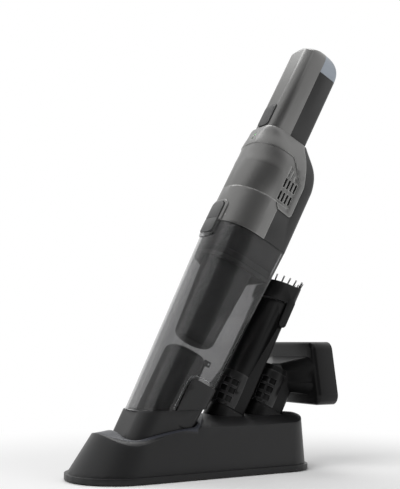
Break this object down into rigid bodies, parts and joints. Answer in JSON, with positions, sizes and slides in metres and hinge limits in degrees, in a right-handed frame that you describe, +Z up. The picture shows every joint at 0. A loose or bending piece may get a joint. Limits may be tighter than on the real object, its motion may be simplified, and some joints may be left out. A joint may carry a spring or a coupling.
{
  "type": "handheld vacuum",
  "caption": "Slim cordless hand vacuum with a clear smoked dust cup, standing nozzle down in a storage stand that also holds a crevice and brush tool and an upholstery tool.",
  "frame": {"origin": "centre of the middle rubber pad under the stand, on the floor and on the stand's centre line", "axes": "+X along the stand from the dock end to the tool end, +Y across it, +Z up"},
  "size_m": [0.2712, 0.0952, 0.4103],
  "materials": {
    "gunmetal": "satin metallic grey moulding",
    "charcoal": "fine matt charcoal moulding",
    "stand_grey": "satin dark grey moulding",
    "dish_grey": "satin blue grey moulding",
    "tool_black": "satin near black moulding",
    "smoke_clear": "clear smoked moulding",
    "rubber": "matt black rubber",
    "steel": "bright zinc plated steel",
    "cell_metal": "dull bare metal",
    "board_green": "lacquered circuit board",
    "lens_green": "milky pale green lens",
    "filter_cloth": "pleated filter cloth",
    "lint_cloth": "short napped strip",
    "bristle_black": "stiff dark bristle"
  },
  "bodies": {
    "stand": {"stand_shell": "stand_grey", "dock_cradle": "dish_grey", "bottom_plate": "stand_grey", "rubber_feet": "rubber", "stand_screws": "steel", "crevice_peg": "tool_black", "upholstery_peg": "tool_black", "upholstery_head": "tool_black", "upholstery_collar": "tool_black", "lint_strips": "lint_cloth"},
    "dust_cup": {"cup_shell": "smoke_clear", "nozzle": "charcoal", "nozzle_backplate": "charcoal", "inlet_duct": "charcoal", "flap_pin": "steel"},
    "inlet_flap": {"inlet_flap": "rubber"},
    "main_body": {"cup_collar": "gunmetal", "motor_cover": "gunmetal", "rear_housing": "charcoal", "vent_near": "charcoal", "vent_far": "charcoal", "handle_shell": "gunmetal", "rear_grip": "charcoal", "latch_bezel": "gunmetal", "latch_pin": "steel", "latch_spring": "steel", "circuit_board": "board_green", "power_switch": "charcoal", "button_spring": "steel", "led_lenses": "lens_green", "battery_cells": "cell_metal", "motor_can": "cell_metal", "motor_mount": "charcoal", "motor_bearings": "steel", "impeller_shroud": "charcoal", "bulkhead": "charcoal", "cup_seal": "rubber", "filter_shroud": "charcoal", "filter_pleats": "filter_cloth", "housing_screws": "steel"},
    "power_button": {"power_button": "charcoal"},
    "cup_latch": {"cup_latch": "charcoal"},
    "rotor": {"motor_shaft": "steel", "impeller": "charcoal"},
    "crevice_tool": {"crevice_tube": "tool_black", "crevice_collar": "tool_black", "brush_pins": "tool_black"},
    "brush": {"brush_hood": "tool_black", "brush_bristles": "bristle_black"}
  },
  "joints": [
    {"name": "vacuum_lift", "type": "slide", "parent": "stand", "child": "dust_cup", "axis": [0.0876, 0, 0.9962], "range_m": [0, 0.0447]},
    {"name": "flap_swing", "type": "hinge", "parent": "dust_cup", "child": "inlet_flap", "pos_m": [0.00712, 0, 0.09689], "axis": [0, -1, 0], "range_deg": [0, 18], "stiffness_Nm_per_rad": 0.002, "springref_deg": -9.74},
    {"name": "body_pull", "type": "slide", "parent": "dust_cup", "child": "main_body", "axis": [0.4695, 0, 0.8829], "range_m": [0, 0.11]},
    {"name": "button_press", "type": "slide", "parent": "main_body", "child": "power_button", "axis": [0.8829, 0, -0.4695], "range_m": [0, 0.0018], "stiffness_N_per_m": 800, "springref_m": -0.001},
    {"name": "latch_press", "type": "hinge", "parent": "main_body", "child": "cup_latch", "pos_m": [0.0263, 0, 0.23393], "axis": [0, 1, 0], "range_deg": [0, 6], "stiffness_Nm_per_rad": 0.6, "springref_deg": -5.73},
    {"name": "fan_spin", "type": "hinge", "parent": "main_body", "child": "rotor", "pos_m": [0.06476, 0, 0.24066], "axis": [0.4695, 0, 0.8829], "continuous": true},
    {"name": "crevice_lift", "type": "slide", "parent": "stand", "child": "crevice_tool", "axis": [0.4695, 0, 0.8829], "range_m": [0, 0.06]},
    {"name": "brush_flip", "type": "hinge", "parent": "crevice_tool", "child": "brush", "pos_m": [0.08672, 0, 0.13419], "axis": [0, 1, 0], "range_deg": [0, 70]}
  ]
}
